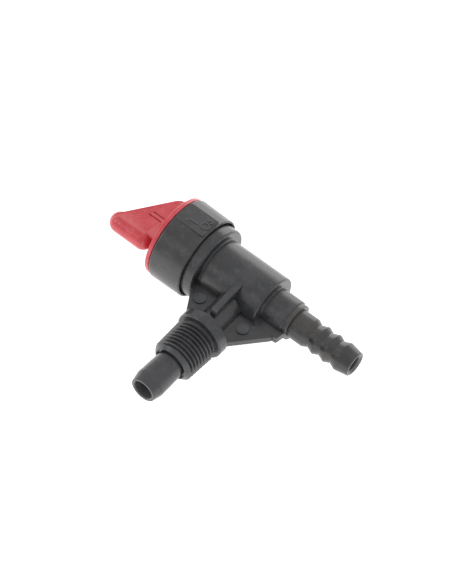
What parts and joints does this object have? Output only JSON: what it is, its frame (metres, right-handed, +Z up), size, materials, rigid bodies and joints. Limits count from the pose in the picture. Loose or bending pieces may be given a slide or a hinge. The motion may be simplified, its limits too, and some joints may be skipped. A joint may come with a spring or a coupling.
{
  "type": "quarter-turn shut-off valve",
  "caption": "Moulded right-angle quarter-turn shut-off tap with a finned knob, a tapered pipe-thread inlet at the side and a hose barb outlet at the end.",
  "frame": {"origin": "on the inlet thread's axis, on the front face of the inlet collar", "axes": "-Y out along the inlet; +X along the knob's turning axis, from the knob to the outlet hose barb; +Z up, square to both"},
  "size_m": [0.0643, 0.0454, 0.0198],
  "materials": {
    "body_plastic": "satin glass-filled moulding",
    "cap_plastic": "satin moulding",
    "barb_plastic": "satin moulding",
    "knob_plastic": "semi-gloss moulding",
    "rotor_plastic": "natural acetal",
    "seal_rubber": "matt nitrile",
    "washer_plastic": "natural acetal",
    "spring_steel": "rolled stainless"
  },
  "bodies": {
    "housing": {"valve_body": "body_plastic", "retaining_cap": "cap_plastic", "outlet_barb": "barb_plastic", "outlet_o_ring": "seal_rubber", "port_seal": "seal_rubber", "thrust_washer": "washer_plastic", "disc_spring": "spring_steel"},
    "turning_plug": {"rotor": "rotor_plastic", "knob": "knob_plastic", "front_o_ring": "seal_rubber", "rear_o_ring": "seal_rubber"}
  },
  "joints": [
    {"name": "knob_turn", "type": "hinge", "parent": "housing", "child": "turning_plug", "pos_m": [-0.0195, 0.017, 0], "axis": [1, 0, 0], "range_deg": [0, 90]}
  ]
}
